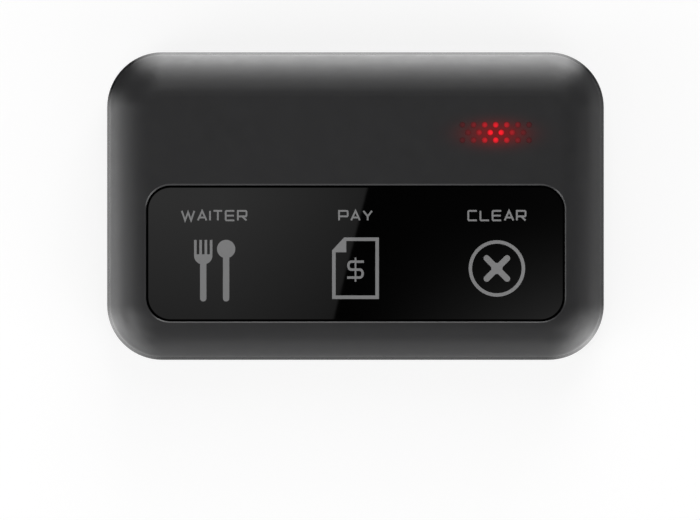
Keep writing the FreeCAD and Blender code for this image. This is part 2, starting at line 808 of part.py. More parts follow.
def make_door():
    """Bayonet door: rim, cup that holds the cell, three lugs and a coin slot."""
    rim = disc(rim_outer, door_bottom, rim_top)
    rim = rim.makeFillet(rim_round, edges_at(rim, door_bottom))
    hub = disc(hub_outer, rim_top - TINY, lug_top)
    lugs = [sector(lug_outer, lug_bottom, lug_top, angle, lug_width_deg) for angle in lug_angles()]
    door = joined([rim, hub] + lugs)
    groove_depth = 2 * (seal_radius + seal_clearance) - door_clearance
    groove = tube(
        hub_outer + OVERSHOOT, hub_outer - groove_depth, seal_level - seal_radius, seal_level + seal_radius
    )
    slot = slab(slot_length, slot_width, slot_corner, door_bottom - OVERSHOOT, door_bottom + slot_depth)
    pointer_y = rim_outer - mark_margin - mark_radius
    pointer = disc(mark_radius, door_bottom - OVERSHOOT, door_bottom + mark_depth, 0, pointer_y)
    cup = disc(hub_inner, door_inside, lug_top + OVERSHOOT)
    return door.cut([cup, groove, slot, pointer])


def make_door_seal():
    return Part.makeTorus(door_hole - seal_clearance - seal_radius, seal_radius, Vector(0, 0, seal_level))


def make_case_screws():
    head = (screw_head_radius, base_bottom + screw_head_sink, screw_head_height)
    return group([screw(x, y, *head, screw_radius, screw_length) for x, y in CORNERS])


def make_feet():
    feet = []
    for x, y in FEET:
        foot = disc(foot_radius, 0, base_bottom + foot_pocket, x, y)
        feet.append(foot.makeFillet(foot_round, edges_at(foot, 0)))
    return group(feet)


# ---- Every piece by name -------------------------------------------------------------------------
def all_nodes():
    nodes = {
        "top_cover": make_top_cover(),
        "panel_film": make_film(),
        "film_adhesive": make_adhesive(),
        "light_guide": make_light_guide(),
        "circuit_board": make_board(),
        "board_screws": make_board_screws(),
        "switch_housings": group([make_switch_housing(x) for x in KEYS.values()]),
        "switch_plates": group([make_switch_plate(x) for x in KEYS.values()]),
        "switch_terminals": make_terminals(),
        "indicator_led": make_led(),
        "led_leads": make_led_leads(),
        "encoder_chip": make_chip(encoder_place, encoder_size),
        "encoder_pins": make_chip_pins(encoder_place, encoder_size, encoder_pins),
        "radio_chip": make_chip(radio_place, radio_size),
        "radio_pins": make_chip_pins(radio_place, radio_size, radio_pins),
        "crystal_can": make_crystal(),
        "reservoir_capacitor": make_reservoir(),
        "reservoir_base": make_reservoir_base(),
        "chip_capacitors": make_chip_parts(chip_capacitor_places, chip_capacitor_size),
        "chip_resistors": make_chip_parts(chip_resistor_places, chip_resistor_size),
        "antenna_coil": make_antenna(),
        "leaf_contact": make_leaf_contact(),
        "side_contact": make_side_contact(),
        "cell_can": make_cell_can(),
        "cell_seal": make_cell_seal(),
        "cell_cap": make_cell_cap(),
        "base_cover": make_base(),
        "case_gasket": make_gasket(),
        "case_screws": make_case_screws(),
        "rubber_feet": make_feet(),
        "battery_door": make_door(),
        "door_seal": make_door_seal(),
    }
    for key, x in KEYS.items():
        nodes[key + "_actuator"] = make_actuator(x)
        nodes[key + "_plunger"] = make_plunger(x)
        nodes[key + "_dome"] = make_dome(x)
    return nodes


os.makedirs("parts", exist_ok=True)
for node_name, shape in all_nodes().items():
    shape.exportStep("parts/" + node_name + ".step")
    print(f"{node_name:22s} valid {shape.isValid()}  solids {len(shape.Solids):2d}  {shape.Volume:9.2f} mm3")
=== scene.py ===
"""Looks of a waiter call button, built round its CAD frame.

Lengths are in metres, in the frame's own axes: +X to the right, +Y away from the person who presses
the keys, +Z up, with the origin on the table under the middle of the case. MM turns millimetres into
metres. The film over the keys is modelled here, and every other piece is a CAD node with a finish.
"""

import json
import math

import bmesh
import bpy
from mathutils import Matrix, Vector
from mathutils.geometry import delaunay_2d_cdt
from mathutils.kdtree import KDTree
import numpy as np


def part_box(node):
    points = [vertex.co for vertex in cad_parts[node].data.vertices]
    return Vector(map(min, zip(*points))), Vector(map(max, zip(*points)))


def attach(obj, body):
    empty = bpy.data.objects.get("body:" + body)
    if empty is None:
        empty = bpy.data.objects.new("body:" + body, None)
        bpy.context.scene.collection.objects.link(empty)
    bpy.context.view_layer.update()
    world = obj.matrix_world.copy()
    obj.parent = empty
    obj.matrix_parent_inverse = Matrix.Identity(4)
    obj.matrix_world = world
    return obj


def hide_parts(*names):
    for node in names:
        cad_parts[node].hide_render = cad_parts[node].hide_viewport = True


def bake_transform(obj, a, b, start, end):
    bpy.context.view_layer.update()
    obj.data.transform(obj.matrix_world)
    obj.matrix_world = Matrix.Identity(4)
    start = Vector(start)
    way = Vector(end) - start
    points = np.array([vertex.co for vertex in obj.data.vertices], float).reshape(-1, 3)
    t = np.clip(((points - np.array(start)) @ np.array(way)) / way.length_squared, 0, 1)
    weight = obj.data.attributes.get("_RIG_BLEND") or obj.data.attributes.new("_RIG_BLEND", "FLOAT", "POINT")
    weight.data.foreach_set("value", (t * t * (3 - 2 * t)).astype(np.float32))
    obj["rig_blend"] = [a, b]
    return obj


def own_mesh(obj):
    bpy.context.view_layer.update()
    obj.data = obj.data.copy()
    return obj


MM = 0.001
NOISE_SPAN = (0.3, 0.7)  # nearly all of a noise's values lie between these

# ---- Camera: straight above, as in the photograph ------------------------------------------------
FRAME_WIDTH = 0.12394  # what the picture's width spans at the outline's height
OUTLINE_HEIGHT = 6.0 * MM
CAMERA_X = -0.97 * MM
CAMERA_Y = -9.56 * MM
LENS = 600.0  # millimetres, on the sensor below
SENSOR = 36.0
CAMERA_HEIGHT = OUTLINE_HEIGHT + FRAME_WIDTH * LENS / SENSOR
CLIP_NEAR = 0.1
CLIP_FAR = 60.0

# ---- Film over the keys --------------------------------------------------------------------------
KEYS = ("waiter", "bill", "cancel")
FLANGE_OVERHANG = 0.8 * MM  # an actuator's flange past its pad, all round
FREE_MARGIN = 0.3 * MM  # the film bends this far past a pad
FILM_RADIUS = 3.98 * MM
FILM_ROUND = 0.05 * MM  # on the film's upper edge
FILM_ROUND_STEPS = 3
FILM_CORNER_STEPS = 14
FILM_EDGE_STEP = 1.5 * MM  # between points along the film's edge
FILM_GRID = 0.6 * MM  # and inside it, so that it bends smoothly
PRINT_STEP = 0.35 * MM  # between points along the print's outlines
PRINT_CLEAR = 0.28 * MM  # grid points keep this far from those
INSIDE_ONLY = 1  # for the triangulation: no triangles outside the outline
SAME_POINT_MM = 1e-5  # it joins points closer than this
ON_CUT = 0.001 * MM  # a point this close to a cut between keys is on it

# ---- Print on the film: Y places are in the frame, and X places from the key's middle ------------
WORD_MIDDLE = -1.74 * MM
LETTER_HEIGHT = 1.67 * MM  # between stroke centres
LETTER_WIDTH = 1.52 * MM
LETTER_STROKE = 0.31 * MM
LETTER_GAP = 0.62 * MM
WIDE_LETTER = 1.45  # of a plain letter's width
WORDS = {"waiter": "WAITER", "bill": "PAY", "cancel": "CLEAR"}
CUTLERY_TOP = -6.02 * MM
CUTLERY_END = -16.87 * MM
HANDLE_WIDTH = 1.12 * MM
FORK_X = -1.92 * MM
FORK_TINES = 4
TINE_WIDTH = 0.45 * MM
TINE_PITCH = 0.925 * MM
TINE_ROOT = -8.55 * MM
FORK_SHOULDER = -8.8 * MM
FORK_NECK = -10.35 * MM
SPOON_X = 2.11 * MM
SPOON_MIDDLE = -7.62 * MM
SPOON_RADIUS = 1.61 * MM
SHEET_WIDTH = 8.24 * MM  # the bill's sheet
SHEET_TOP = -5.59 * MM
SHEET_BOTTOM = -16.43 * MM
SHEET_STROKE = 0.62 * MM
SHEET_FOLD_X = 2.49 * MM  # the folded corner, from the sheet's own corner
SHEET_FOLD_Y = 2.61 * MM
SHEET_CUT_X = 2.13 * MM  # where the fold's line meets the sheet's sides
SHEET_CUT_Y = 2.25 * MM
MONEY_MIDDLE = -11.25 * MM
MONEY_WIDTH = 2.52 * MM
MONEY_HEIGHT = 2.8 * MM
MONEY_BEND = 0.5 * MM
MONEY_STROKE = 0.43 * MM
MONEY_BAR = 0.3 * MM
MONEY_BAR_REACH = 0.72 * MM  # of the bar, past the letter's top and bottom
RING_MIDDLE = -11.05 * MM
RING_RADIUS = 4.67 * MM
RING_STROKE = 0.6 * MM
CROSS_HALF = 1.8 * MM
CROSS_STROKE = 1.08 * MM
CROSS_WAIST = 0.98 * MM  # the corners between the arms are filled out to here
CIRCLE_STEPS = 64
ROUND_END_STEPS = 20
FORK_STEPS = 24  # round the fork's lower end
MONEY_STEPS = 10  # round each bend of the money sign
MITRE_LIMIT = 0.35  # keeps a sharp corner's point short
INK_LEFT = (0.208, 0.208, 0.21)
INK_RISE = 1.3  # the ink at the film's right end, as a share of that

# ---- Indicator light -----------------------------------------------------------------------------
LIGHT_X = 24.7 * MM  # the middle of the dots
LIGHT_Y = 12.9 * MM
TOP_FACE = 17.0 * MM
LAMP = (LIGHT_X, LIGHT_Y - 0.2 * MM, TOP_FACE)  # the brightest place
DOT_PITCH_X = 1.96 * MM
DOT_PITCH_Y = 1.36 * MM
DOT_RADIUS = 0.46 * MM
DOT_FALL = 1.6 * MM  # distance over which the dots' light falls to 1/e
DOT_STRENGTH = 2.1
DOT_EDGE_SHARE = 0.6  # light at a dot's edge, as a share of its middle
GLOW_REACH = (4.7 * MM, 1.85 * MM, 1.5 * MM)  # of the soft glow in the cover's thin skin
GLOW_STRENGTH = 0.15
GLOW_TINT = 0.85  # how much of the red guide's colour shows through the skin over the lamp
GUIDE_COLOUR = (0.03, 0.0, 0.0)
LIGHT_COLOUR = (1.0, 0.0, 0.012)
GLOW_COLOUR = (1.0, 0.0, 0.01)
LENS_FOOT = 10.4 * MM  # the lamp's clear lens, inside the case
LENS_TOP = 14.3 * MM
LENS_STRENGTH = (0.4, 2.0)  # at its foot and its top

# ---- Recess round the film, darkened as painted shade, and a painted highlight on its rim --------
RECESS_GAP = 0.375 * MM  # film to the recess's wall, and a hair more
# painted shade: the cover's colour in the recess is cut to this share, and its gloss is turned off
RECESS_PAINTED_SHADE = 0.1
RIM_REACH = 0.3 * MM  # from there over the rim's slope, rubbed smoother by hands, with a painted highlight
RIM_ROUGHNESS = 0.29
# painted highlight: the rim's colour is made this many times lighter
RIM_PAINTED_HIGHLIGHT = 1.6

# ---- Studio --------------------------------------------------------------------------------------
FLOOR_SIZE = 24.0
FLOOR_COLOUR = 0.25
FLOOR_GLOW = 0.8  # for rays that see the floor near the case, so that it reads as white there
FLOOR_LIT = 0.3  # out to here the lamps light the floor fully
FLOOR_UNLIT = 0.8  # and from here on hardly, so that the glow alone makes it white
UNDER_GAP = 1.6 * MM  # the floor lets rays this short through, so that the underside can be looked at
AIM = Vector((0.0, 0.0, 10.0 * MM))
FLOOR_LEVEL = -0.02 * MM
SKY_WHITE = 1.0
SKY_AMBIENT = 0.15  # even light from above that only matte surfaces get
SKY_BELOW = 0.9  # and from below
SKY_HORIZON = 0.01  # heights are sines of elevation
SKY_GLOSS_HIGH = 0.02  # from the horizon up to here, gloss sees the sky darken
SKY_GLOSS_TOP = 0.0
CARD_HEIGHT = 0.6  # of the overhead card, above the film
CARD_HALF_X = 0.07
CARD_HALF_Y = 0.04
CARD_EDGE_X = -0.9 * MM  # where the line between the card's two lights crosses the film's middle line
CARD_EDGE_SLOPE = 0.258
CARD_EDGE_SOFT = 0.2 * MM
CARD_LEFT = 0.66  # the light left of that line, at the top
CARD_LEFT_ACROSS = (0.18, 0.52, 1.0, 0.5)  # from 0.18 to 0.52 of the film's width it falls from 1 to 0.5
CARD_LEFT_DOWN = (0.1, 1.0, 1.0, 0.58)  # and from 0.1 to all of its depth it falls from 1 to 0.58
CARD_RIGHT = 0.44  # the light right of it, at the film's near right corner
CARD_RIGHT_ACROSS = (0.45, 1.0, 0.0, 1.0)
CARD_RIGHT_CURVE_X = 1.8
CARD_RIGHT_CURVE_Y = 2.3
CARD_RIGHT_FAR = 0.06  # its share at the film's far edge

# Apron: a card that lies round the case and shows only in its gloss
CASE_RADIUS = 9.75 * MM  # of the outline's corners
APRON_GAP = 0.15 * MM  # outline to card
APRON_REACH = 0.6
APRON_CORNER_STEPS = 12
APRON_FOOT = 13.5 * MM  # from a corner's centre: up to here the light is the first of the three below
APRON_CLOSE = (16.5 * MM, 17.75 * MM)  # between these it is the second
APRON_OPEN = 34.75 * MM  # and from here on the third
APRON_LIGHT = {  # azimuth (0 is +X, 90 is +Y): radiance at the case's foot, close to it, and farther out
    0: (0.27, 0.3, 0.65),
    45: (0.0, 0.0, 0.0),
    70: (1.4, 2.2, 6.0),
    90: (1.9, 2.7, 5.2),
    125: (0.0, 0.0, 0.0),
    160: (0.0, 0.0, 0.0),
    200: (2.0, 1.9, 4.3),
    230: (1.4, 0.9, 2.5),
    270: (0.42, 0.47, 0.8),
    320: (2.4, 1.9, 4.3),
}

SOFTBOX_DISTANCE = 0.8
LOW, MIDDLE, HIGH, TOP = 8, 25, 42, 60  # elevations, in rings round the object
SOFTBOX_HEIGHT = 0.23
SOFTBOXES = {  # azimuth, elevation, width and radiance
    "far_low": (79, LOW, 0.63, 4.0),
    "far_left_low": (112, LOW, 0.32, 0.8),
    "left_low": (180, LOW, 0.32, 1.6),
    "near_left_low": (225, LOW, 0.32, 3.1),
    "near_low": (281, LOW, 0.63, 1.1),
    "near_right_low": (326, LOW, 0.63, 2.7),
    "far_middle": (79, MIDDLE, 0.58, 3.8),
    "left_middle": (202, MIDDLE, 0.4, 5.4),
    "near_left_middle": (236, MIDDLE, 0.58, 1.6),
    "near_right_middle": (326, MIDDLE, 0.58, 2.5),
    "far_high": (79, HIGH, 0.47, 1.75),
    "left_high": (202, HIGH, 0.24, 1.7),
    "near_right_high": (304, HIGH, 0.47, 1.85),
    "far_top": (90, TOP, 0.32, 1.9),
    "near_left_top": (225, TOP, 0.32, 1.45),
}


# ---- Helpers -------------------------------------------------------------------------------------
def add_object(name, data):
    piece = bpy.data.objects.new(name, data)
    bpy.context.scene.collection.objects.link(piece)
    return piece


class Nodes:
    """Short ways to add nodes to the tree of a material or world."""

    def __init__(self, owner):
        owner.use_nodes = True
        self.nodes = owner.node_tree.nodes
        self.links = owner.node_tree.links

    def put(self, socket, value):
        """Feeds a socket from another node, or with a plain number, vector or colour."""
        if isinstance(value, bpy.types.NodeSocket):
            self.links.new(value, socket)
        elif socket.type == "RGBA":
            socket.default_value = (*value, 1.0)
        else:
            socket.default_value = value

    def math(self, operation, first, second=0.0):
        node = self.nodes.new("ShaderNodeMath")
        node.operation = operation
        self.put(node.inputs[0], first)
        self.put(node.inputs[1], second)
        return node.outputs[0]

    def times(self, first, second):
        return self.math("MULTIPLY", first, second)

    def past(self, value, start):
        """How far value lies past start, or 0."""
        return self.math("MAXIMUM", self.math("SUBTRACT", value, start), 0.0)

    def hypotenuse(self, first, second):
        squares = self.math("ADD", self.times(first, first), self.times(second, second))
        return self.math("SQRT", squares)

    def vector(self, operation, first, second=(0.0, 0.0, 0.0)):
        node = self.nodes.new("ShaderNodeVectorMath")
        node.operation = operation
        self.put(node.inputs[0], first)
        self.put(node.inputs[1], second)
        return node.outputs["Value" if operation in ("LENGTH", "DOT_PRODUCT") else "Vector"]

    def split(self, vector):
        node = self.nodes.new("ShaderNodeSeparateXYZ")
        self.put(node.inputs[0], vector)
        return node.outputs

    def ramp(self, value, low, high, start, end):
        """value between low and high becomes start to end, and stays there outside."""
        node = self.nodes.new("ShaderNodeMapRange")
        for socket, number in zip(node.inputs, (value, low, high, start, end)):
            self.put(socket, number)
        return node.outputs["Result"]

    def blend(self, share, first, second):
        """A number that goes from first to second with share."""
        node = self.nodes.new("ShaderNodeMix")
        for socket, number in ((0, share), (2, first), (3, second)):
            self.put(node.inputs[socket], number)
        return node.outputs[0]

    def mix(self, share, first, second):
        """A colour that goes from first to second with share."""
        node = self.nodes.new("ShaderNodeMix")
        node.data_type = "RGBA"
        for socket, colour in ((0, share), (6, first), (7, second)):
            self.put(node.inputs[socket], colour)
        return node.outputs[2]


class Finish(Nodes):
    """The material of a piece, and ways to vary it over the surface."""

    def __init__(self, name, colour, roughness, metallic=0.0):
        self.material = bpy.data.materials.new(name)
        super().__init__(self.material)
        self.colour = colour
        self.roughness = roughness
        self.place = self.nodes.new("ShaderNodeTexCoord").outputs["Object"]
        self.set("Base Color", colour)
        self.set("Roughness", roughness)
        self.set("Metallic", metallic)

    def set(self, name, value):
        """Feeds one of the shader's own sockets."""
        self.put(self.nodes["Principled BSDF"].inputs[name], value)

    def now(self, name):
        """What feeds one of the shader's sockets so far."""
        return self.nodes["Principled BSDF"].inputs[name].links[0].from_socket

    def noise(self, size, detail=2.0, rough=0.5, place=None):
        """Cloudy noise whose features are about size metres across."""
        node = self.nodes.new("ShaderNodeTexNoise")
        self.put(node.inputs["Vector"], place or self.place)
        node.inputs["Scale"].default_value = 1.0 / size
        node.inputs["Detail"].default_value = detail
        node.inputs["Roughness"].default_value = rough
        return node.outputs["Fac"]

    def cells(self, size, feature="F1"):
        """Distance to the nearest of points scattered size metres apart, or to the borders between."""
        node = self.nodes.new("ShaderNodeTexVoronoi")
        node.feature = feature
        self.put(node.inputs["Vector"], self.place)
        node.inputs["Scale"].default_value = 1.0 / size
        return node.outputs["Distance"]

    def shade(self, value, change):
        """Base colour that varies by change either way with value, which runs from 0 to 1."""
        dark = tuple(c * (1.0 - change) for c in self.colour)
        light = tuple(c * (1.0 + change) for c in self.colour)
        self.set("Base Color", self.mix(value, dark, light))

    def gloss(self, value, change):
        """Roughness that varies by change either way with value, which is a noise."""
        low, high = self.roughness - change, self.roughness + change
        self.set("Roughness", self.ramp(value, *NOISE_SPAN, low, high))

    def relief(self, height, depth):
        """Surface relief of the given depth in metres."""
        node = self.nodes.new("ShaderNodeBump")
        node.inputs["Strength"].default_value = 1.0
        node.inputs["Distance"].default_value = depth
        self.put(node.inputs["Height"], height)
        self.set("Normal", node.outputs["Normal"])


# ---- Finishes ------------------------------------------------------------------------------------
def moulded(name, colour, roughness, grain=0.12 * MM, depth=4e-6, shade=0.05):
    """Plastic from a spark-eroded mould: fine grain, slow changes of shade, faint rubbed patches."""
    finish = Finish(name, colour, roughness)
    finish.shade(finish.noise(6.0 * MM, 3.0), shade)
    finish.gloss(finish.noise(2.5 * MM, 4.0, 0.6), 0.03)
    pits = finish.cells(grain)
    fine = finish.noise(grain * 0.7, 2.0)
    finish.relief(finish.math("ADD", pits, fine), depth)
    return finish


def film_distance(finish):
    """How far a place is from the line round which the film's outline runs at FILM_RADIUS."""
    low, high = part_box("panel_film")
    place = finish.split(finish.place)
    beyond = []
    for axis in (0, 1):
        middle = (low[axis] + high[axis]) / 2
        spine = (high[axis] - low[axis]) / 2 - FILM_RADIUS
        away = finish.math("ABSOLUTE", finish.math("SUBTRACT", place[axis], middle))
        beyond.append(finish.past(away, spine))
    return finish.hypotenuse(*beyond)


def cover_plastic(name, colour):
    """Cover's satin plastic: painted shade in the recess, painted highlight on its rim, red round dots."""
    finish = moulded(name, colour, 0.42)
    distance = film_distance(finish)
    recess = finish.math("LESS_THAN", distance, FILM_RADIUS + RECESS_GAP)
    rim = finish.math("LESS_THAN", distance, FILM_RADIUS + RECESS_GAP + RIM_REACH)
    finish.set("Roughness", finish.blend(rim, finish.now("Roughness"), RIM_ROUGHNESS))
    # painted shade: no gloss in the recess
    finish.set("Specular IOR Level", finish.ramp(recess, 0.0, 1.0, 0.5, 0.0))

    offset = finish.vector("SUBTRACT", finish.place, LAMP)
    reach = finish.vector("DIVIDE", offset, GLOW_REACH)
    square = finish.vector("DOT_PRODUCT", reach, reach)
    glow = finish.math("EXPONENT", finish.times(square, -1.0))
    finish.set("Emission Color", GLOW_COLOUR)
    finish.set("Emission Strength", finish.times(glow, GLOW_STRENGTH))

    # painted highlight: the rim's colour is made lighter
    rim_painted_highlight = finish.mix(rim, finish.now("Base Color"), tuple(c * RIM_PAINTED_HIGHLIGHT for c in colour))
    tinted = finish.mix(finish.times(glow, GLOW_TINT), rim_painted_highlight, GUIDE_COLOUR)
    # painted shade: the cover's colour is darkened in the recess
    finish.set("Base Color", finish.mix(recess, tinted, tuple(c * RECESS_PAINTED_SHADE for c in colour)))
    return finish


def lit_guide(name, colour):
    """Translucent red plastic. Each pin is brightest in its middle, and the pins near the lamp most."""
    finish = Finish(name, colour, 0.3)
    finish.set("Specular IOR Level", 0.2)
    finish.shade(finish.noise(0.8 * MM), 0.08)
    finish.relief(finish.noise(0.2 * MM), 3e-6)
    away = finish.vector("LENGTH", finish.vector("SUBTRACT", finish.place, LAMP))
    fall = finish.math("EXPONENT", finish.math("DIVIDE", away, -DOT_FALL))
    place = finish.split(finish.vector("SUBTRACT", finish.place, (LIGHT_X, LIGHT_Y, 0.0)))
    middle_row = finish.math("LESS_THAN", finish.math("ABSOLUTE", place[1]), DOT_PITCH_Y / 2)
    shift = finish.times(middle_row, 0.5)
    column = finish.math("ADD", finish.math("DIVIDE", place[0], DOT_PITCH_X), shift)
    across = finish.times(finish.math("PINGPONG", column, 0.5), DOT_PITCH_X)
    row = finish.math("DIVIDE", place[1], DOT_PITCH_Y)
    along = finish.times(finish.math("PINGPONG", row, 0.5), DOT_PITCH_Y)
    inside = finish.ramp(finish.hypotenuse(across, along), 0.0, DOT_RADIUS, 1.0, DOT_EDGE_SHARE)
    finish.set("Emission Color", LIGHT_COLOUR)
    finish.set("Emission Strength", finish.times(finish.times(fall, inside), DOT_STRENGTH))
    return finish


def lens(name, colour):
    """Clear coloured epoxy of the lamp, which glows most at its top."""
    finish = Finish(name, colour, 0.12)
    finish.set("Transmission Weight", 0.5)
    finish.shade(finish.noise(1.0 * MM), 0.06)
    finish.gloss(finish.noise(0.6 * MM, 3.0), 0.04)
    height = finish.split(finish.place)[2]
    finish.set("Emission Color", LIGHT_COLOUR)
    finish.set("Emission Strength", finish.ramp(height, LENS_FOOT, LENS_TOP, *LENS_STRENGTH))
    return finish


def gloss_film(name, colour, roughness=0.012):
    """Hard-coated film: mirror gloss with the faintest orange peel and a little dust."""
    finish = Finish(name, colour, roughness)
    finish.shade(finish.noise(9.0 * MM, 3.0), 0.08)
    finish.gloss(finish.noise(3.0 * MM, 5.0, 0.65), 0.004)
    finish.relief(finish.noise(1.6 * MM, 1.0), 5e-8)
    return finish


def graded_ink(name):
    """The film's print: grey ink under the hard coat, a little paler from left to right."""
    finish = gloss_film(name, INK_LEFT)
    low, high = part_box("panel_film")
    across = finish.ramp(finish.split(finish.place)[0], low.x, high.x, 0.0, 1.0)
    cloud = finish.now("Base Color")
    paler = finish.vector("MULTIPLY", cloud, (INK_RISE,) * 3)
    finish.set("Base Color", finish.mix(across, cloud, paler))
    return finish


def cut_edge(name, colour):
    """Edge of a film where the die cut it: matte and finely drawn, with no hard coat."""
    finish = Finish(name, colour, 0.7)
    finish.set("Specular IOR Level", 0.05)
    drawn = finish.vector("DIVIDE", finish.place, (1.0, 1.0, 8.0))
    lines = finish.noise(0.04 * MM, 3.0, 0.6, drawn)
    finish.shade(lines, 0.2)
    finish.relief(lines, 1e-6)
    return finish


def metal(name, colour, roughness, stretch=(1.0, 12.0, 1.0), scratch=0.05 * MM, depth=1.5e-6):
    """Metal with fine lines along one axis and slow changes of tone, as from rolling or drawing."""
    finish = Finish(name, colour, roughness, metallic=1.0)
    lines = finish.noise(scratch, 3.0, 0.6, finish.vector("DIVIDE", finish.place, stretch))
    finish.shade(finish.noise(1.2 * MM, 3.0), 0.08)
    finish.gloss(lines, 0.08)
    finish.relief(lines, depth)
    return finish


def rubber(name, colour, roughness=0.75):
    """Matte rubber with a fine dusty speckle."""
    finish = Finish(name, colour, roughness)
    finish.shade(finish.noise(0.25 * MM, 4.0, 0.7), 0.22)
    finish.gloss(finish.noise(0.8 * MM), 0.06)
    finish.relief(finish.noise(0.09 * MM, 3.0, 0.6), 6e-6)
    return finish


def laminate(name, colour):
    """Green solder mask: the glass weave shows through, and darker lines where copper lies under it."""
    finish = Finish(name, colour, 0.32)
    place = finish.split(finish.place)
    weave = 0.45 * MM
    warp = finish.math("SINE", finish.times(place[0], 2 * math.pi / weave))
    weft = finish.math("SINE", finish.times(place[1], 2 * math.pi / weave))
    woven = finish.times(warp, weft)
    copper = finish.math("GREATER_THAN", finish.cells(2.6 * MM, "DISTANCE_TO_EDGE"), 0.12)
    tone = finish.math("ADD", finish.times(woven, 0.12), finish.times(copper, 0.7))
    finish.shade(tone, 0.3)
    finish.gloss(finish.noise(1.0 * MM), 0.04)
    finish.relief(finish.math("ADD", woven, copper), 4e-6)
    return finish


def tape(name, colour):
    """Double-sided tape: fibrous and matte."""
    finish = Finish(name, colour, 0.85)
    drawn = finish.vector("DIVIDE", finish.place, (4.0, 1.0, 1.0))
    fibres = finish.noise(0.12 * MM, 4.0, 0.7, drawn)
    finish.shade(fibres, 0.2)
    finish.relief(fibres, 8e-6)
    return finish


def ceramic(name, colour, roughness):
    """Fired body with sparse specks."""
    finish = Finish(name, colour, roughness)
    finish.shade(finish.noise(0.15 * MM, 5.0, 0.7), 0.14)
    finish.relief(finish.noise(0.1 * MM, 3.0), 4e-6)
    return finish


def make_finishes(record):
    """One finish for each of the record's material slots, from the colour that the record gives."""
    colours = {m["slot"]: tuple(m["base_color"]) for m in record["materials"]}
    finishes = {
        "case_plastic": cover_plastic("case_plastic", colours["case_plastic"]),
        "base_plastic": moulded("base_plastic", colours["base_plastic"], 0.28),
        "film_gloss": gloss_film("film_gloss", colours["film_gloss"]),
        "film_print": graded_ink("film_print"),
        "film_edge": cut_edge("film_edge", colours["film_gloss"]),
        "adhesive": tape("adhesive", colours["adhesive"]),
        "light_guide": lit_guide("light_guide", colours["light_guide"]),
        "led_lens": lens("led_lens", colours["led_lens"]),
        "board_laminate": laminate("board_laminate", colours["board_laminate"]),
        "bare_steel": metal("bare_steel", colours["bare_steel"], 0.3),
        "spring_metal": metal("spring_metal", colours["spring_metal"], 0.25),
        "tinned_metal": metal("tinned_metal", colours["tinned_metal"], 0.35, (1, 1, 1), 0.2 * MM),
        "aluminium_can": metal("aluminium_can", colours["aluminium_can"], 0.28, (1, 1, 10)),
        "cell_steel": metal("cell_steel", colours["cell_steel"], 0.26),
        "screw_steel": metal("screw_steel", colours["screw_steel"], 0.36, (1, 1, 1), 0.15 * MM),
        "copper_wire": metal("copper_wire", colours["copper_wire"], 0.3, (1, 1, 1), 0.3 * MM),
        "chip_ceramic": ceramic("chip_ceramic", colours["chip_ceramic"], 0.5),
        "resistor_body": ceramic("resistor_body", colours["resistor_body"], 0.3),
    }
    for slot in ("gasket_silicone", "foot_rubber", "seal_polymer"):
        finishes[slot] = rubber(slot, colours[slot])
    for slot, roughness in (
        ("actuator_plastic", 0.5),
        ("black_epoxy", 0.6),
        ("switch_plastic", 0.5),
        ("plunger_plastic", 0.4),
    ):
        finishes[slot] = moulded(slot, colours[slot], roughness, 0.08 * MM)
    return {slot: finish.material for slot, finish in finishes.items()}


def node_slots(model):
    """Slot of each CAD node, read from the materials that the frame came with."""
    slots = {}
    for name, node in model["nodes"].items():
        slots[name] = node.data.materials[0].name.split(".")[0]
    return slots


def dress_nodes(model, slots, finishes):
    """Gives each CAD node its finish. The nodes themselves stay as they came."""
    for name, node in model["nodes"].items():
        for holder in node.material_slots:
            holder.material = finishes[slots[name]]


# ---- Flat shapes for the print -------------------------------------------------------------------
def circle(x, y, radius, steps=ROUND_END_STEPS):
    turns = (2 * math.pi * step / steps for step in range(steps))
    return [(x + radius * math.cos(turn), y + radius * math.sin(turn)) for turn in turns]


def arc(x, y, radius_x, radius_y, start, end, steps):
    """Points along an ellipse, from start to end in degrees."""
    turns = (math.radians(start + (end - start) * step / steps) for step in range(steps + 1))
    return [(x + radius_x * math.cos(turn), y + radius_y * math.sin(turn)) for turn in turns]


def rectangle(left, bottom, right, top):
    return [(left, bottom), (right, bottom), (right, top), (left, top)]


def mitre(before, here, after, half):
    """Offset to the left of a stroke's corner, where its two runs' sides meet."""
    first = (here - before).normalized() if before else (after - here).normalized()
    second = (after - here).normalized() if after else first
    normal = Vector((-first.y - second.y, first.x + second.x)).normalized()
    side = Vector((-first.y, first.x))
    return normal * (half / max(normal.dot(side), MITRE_LIMIT))


def stroke(points, width, closed=False):
    """Polygons, one for each run of a line, that meet in mitred corners."""
    line = [Vector(p) for p in points]
    count = len(line)
    sides = []
    for i, here in enumerate(line):
        before = line[i - 1] if closed or i > 0 else None
        after = line[(i + 1) % count] if closed or i < count - 1 else None
        shift = mitre(before, here, after, width / 2)
        sides.append((here + shift, here - shift))
    runs = count if closed else count - 1
    shapes = []
    for i in range(runs):
        (a, b), (c, d) = sides[i], sides[(i + 1) % count]
        shapes.append([tuple(p) for p in (a, b, d, c)])
    return shapes


def round_stroke(start, end, width):
    return stroke([start, end], width) + [circle(*start, width / 2), circle(*end, width / 2)]


